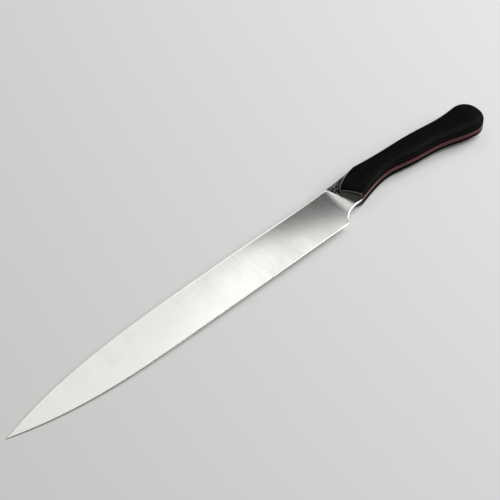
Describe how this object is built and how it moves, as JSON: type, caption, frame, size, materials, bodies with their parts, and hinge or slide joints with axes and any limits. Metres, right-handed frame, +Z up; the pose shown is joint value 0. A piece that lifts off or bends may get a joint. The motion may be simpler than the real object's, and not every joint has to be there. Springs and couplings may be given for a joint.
{
  "type": "yanagiba knife",
  "caption": "Long slicing knife with a single-bevel blade, concave choil, sculpted steel bolster and an S-curved black handle with red liners.",
  "frame": {"origin": "centre of the bounding box, on the table that the knife lies on", "axes": "+X along the knife from the point to the butt, +Y from the cutting edge to the back, +Z up from the table, out of the left and flatter face"},
  "size_m": [0.4496, 0.0354, 0.018],
  "materials": {
    "blade_steel": "satin, ground across the blade",
    "bolster_steel": "satin",
    "red_fibre": "matt vulcanised fibre",
    "black_laminate": "satin, resin-filled laminate",
    "dowel_steel": "turned"
  },
  "bodies": {
    "root": {"blade": "blade_steel", "left_bolster": "bolster_steel", "right_bolster": "bolster_steel", "left_liner": "red_fibre", "right_liner": "red_fibre", "left_scale": "black_laminate", "right_scale": "black_laminate", "scale_dowel_front": "dowel_steel", "scale_dowel_middle": "dowel_steel", "scale_dowel_rear": "dowel_steel", "bolster_dowel_lower": "dowel_steel", "bolster_dowel_upper": "dowel_steel"}
  },
  "joints": []
}
